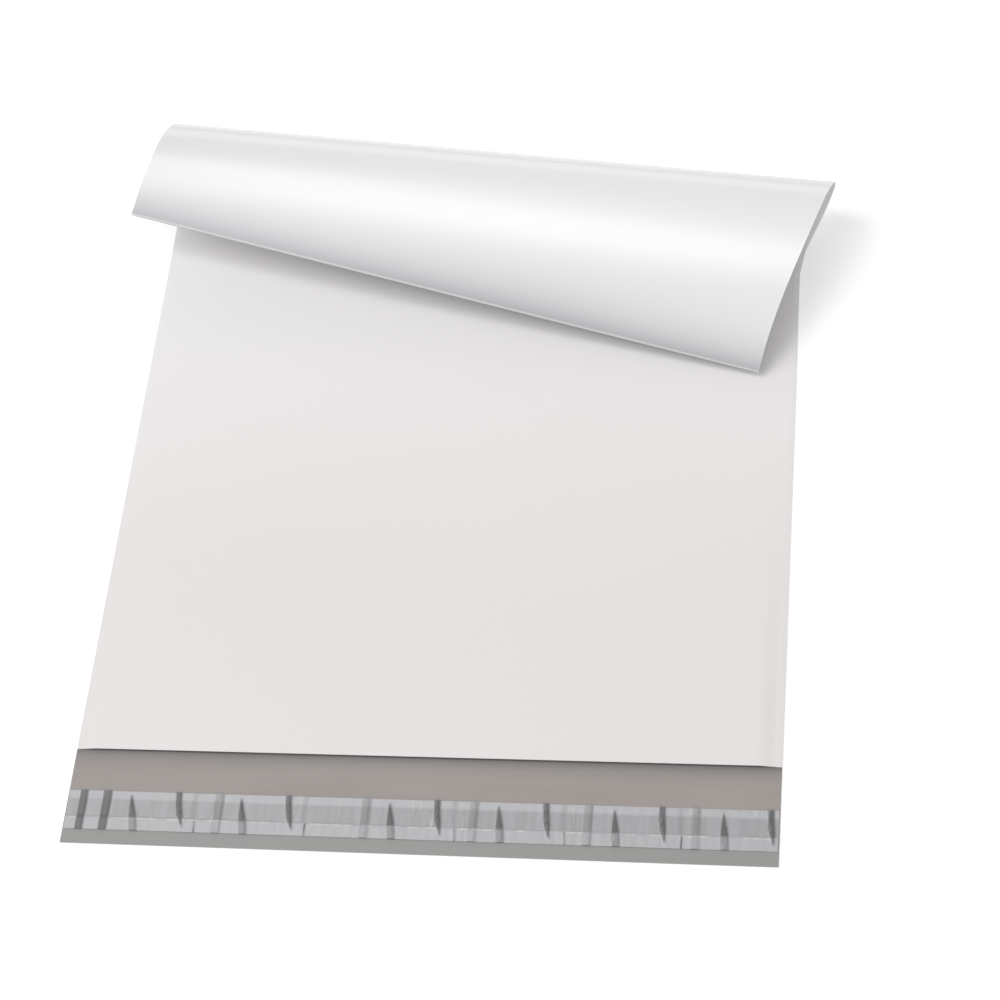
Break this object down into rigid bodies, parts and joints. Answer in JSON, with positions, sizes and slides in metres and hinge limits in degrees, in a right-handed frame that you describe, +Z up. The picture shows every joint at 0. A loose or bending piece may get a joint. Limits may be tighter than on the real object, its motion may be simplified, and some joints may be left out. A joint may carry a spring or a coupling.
{
  "type": "poly mailer bag",
  "caption": "Flat plastic mailing bag with an open grey sealing flap, a puckered release liner over its glue, and the closed end curled up and over.",
  "frame": {"origin": "middle of the pocket's mouth, on the underside of the back ply, which lies on the surface", "axes": "+X across the bag, +Y from the mouth towards the closed end, +Z up out of the surface it lies on"},
  "size_m": [0.2792, 0.3016, 0.0278],
  "materials": {
    "film": "satin white film, grey on the inside",
    "adhesive": "clear glue over grey film",
    "liner": "translucent puckered film"
  },
  "bodies": {
    "root": {"bag_film": "film", "adhesive_strip": "adhesive", "release_liner": "liner"}
  },
  "joints": []
}
